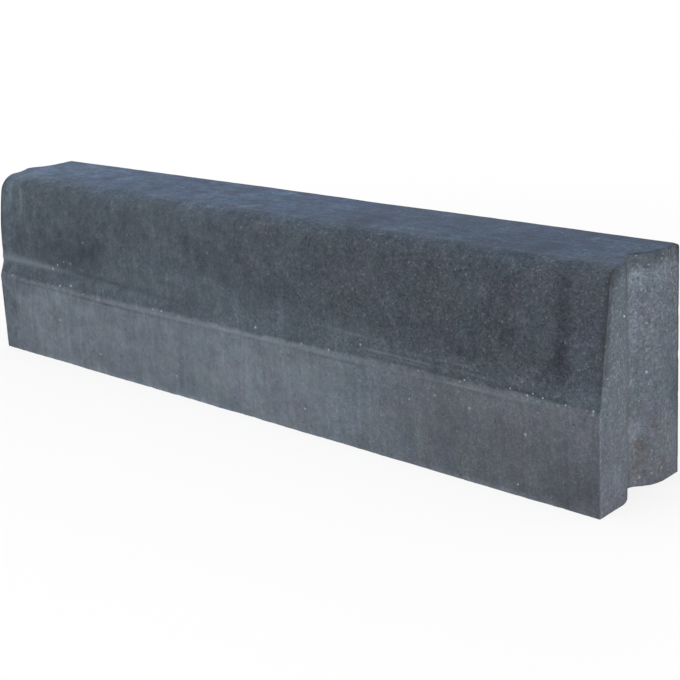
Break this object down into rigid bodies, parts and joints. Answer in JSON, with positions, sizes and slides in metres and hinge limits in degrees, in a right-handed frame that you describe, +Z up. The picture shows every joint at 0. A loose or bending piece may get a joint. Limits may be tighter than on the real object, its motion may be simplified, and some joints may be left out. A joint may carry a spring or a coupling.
{
  "type": "kerb stone",
  "caption": "Straight concrete pavement kerb with a battered face above a low ledge, a rounded top edge, a tongue at one end and a matching groove at the other.",
  "frame": {"origin": "middle of the base, halfway between the two end planes and halfway across the 150 mm width", "axes": "+X along the kerb from the tongue to the groove, -Y out of the road face, +Z up"},
  "size_m": [1.014, 0.15, 0.25],
  "materials": {
    "concrete": "matt cast concrete, blue-grey, fine sandy grain, drag streaks from the mould, small pits and pale specks"
  },
  "bodies": {
    "root": {"kerb_stone": "concrete"}
  },
  "joints": []
}
